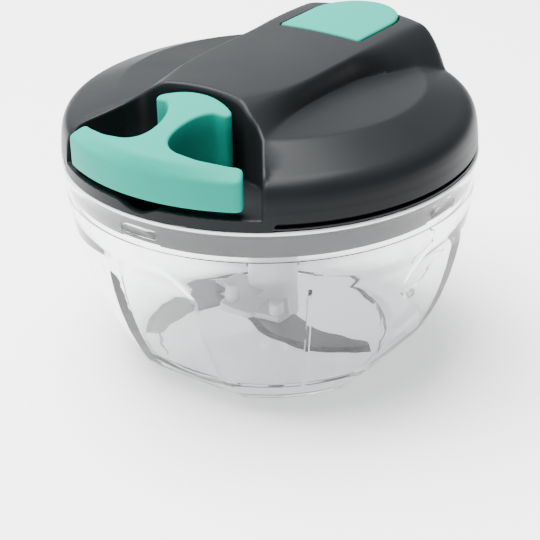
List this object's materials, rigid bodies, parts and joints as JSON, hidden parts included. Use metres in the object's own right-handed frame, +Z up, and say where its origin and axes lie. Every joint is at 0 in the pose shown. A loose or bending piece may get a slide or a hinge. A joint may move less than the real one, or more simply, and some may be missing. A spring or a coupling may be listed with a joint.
{
  "type": "pull cord food chopper",
  "caption": "Round hand food chopper: clear bowl, dark lid with a raised spine, teal pull handle and button, and three curved blades on a white sleeve.",
  "frame": {"origin": "middle of the base, on the surface the bowl stands on", "axes": "+Z up along the blade shaft, -Y toward the pull handle, +X to the right seen from the handle"},
  "size_m": [0.13, 0.1302, 0.0965],
  "materials": {
    "clear_plastic": "clear, polished",
    "dark_plastic": "satin",
    "grey_plastic": "satin",
    "teal_plastic": "satin",
    "white_plastic": "smooth",
    "blade_steel": "brushed",
    "plated_steel": "plated",
    "spring_steel": "plain",
    "seal_rubber": "matte",
    "cord_braid": "braided"
  },
  "bodies": {
    "bowl": {"bowl": "clear_plastic", "bowl_pivot_pin": "plated_steel"},
    "lid": {"lid_cover": "dark_plastic", "lid_base": "grey_plastic", "lid_seal": "seal_rubber", "cover_screw_1": "plated_steel", "cover_screw_2": "plated_steel", "cover_screw_3": "plated_steel", "cover_screw_4": "plated_steel", "cord_eyelet": "plated_steel", "axle_pin": "plated_steel", "cord_run": "cord_braid", "button_spring": "spring_steel"},
    "handle": {"pull_handle": "teal_plastic", "cord_knot": "cord_braid"},
    "drum": {"cord_drum": "white_plastic", "drum_cap": "white_plastic", "cord_winding": "cord_braid", "clock_spring": "spring_steel", "drive_shaft": "plated_steel"},
    "button": {"release_button": "teal_plastic"},
    "blades": {"blade_holder": "white_plastic", "blade_low": "blade_steel", "blade_middle": "blade_steel", "blade_high": "blade_steel", "blade_clip_1": "white_plastic", "blade_clip_2": "white_plastic", "blade_clip_3": "white_plastic"}
  },
  "joints": [
    {"name": "lid_lift", "type": "slide", "parent": "bowl", "child": "lid", "axis": [0, 0, 1], "range_m": [0, 0.12]},
    {"name": "handle_pull", "type": "slide", "parent": "lid", "child": "handle", "axis": [0, -1, 0], "range_m": [0, 0.3], "stiffness_N_per_m": 15, "springref_m": -0.1, "deforming": ["cord_run"]},
    {"name": "drum_spin", "type": "hinge", "parent": "lid", "child": "drum", "pos_m": [0, 0, 0.077], "axis": [0, 0, 1], "range_deg": [-925, 0]},
    {"name": "button_press", "type": "slide", "parent": "lid", "child": "button", "axis": [0, 0, -1], "range_m": [0, 0.003], "stiffness_N_per_m": 800, "springref_m": -0.001, "deforming": ["button_spring"]},
    {"name": "blade_spin", "type": "hinge", "parent": "bowl", "child": "blades", "pos_m": [0, 0, 0.008], "axis": [0, 0, 1], "range_deg": [-925, 0]}
  ],
  "couplings": [
    {"joint": "drum_spin", "follows": "handle_pull", "rad_per_m": -53.476},
    {"joint": "blade_spin", "follows": "handle_pull", "rad_per_m": -53.476}
  ]
}
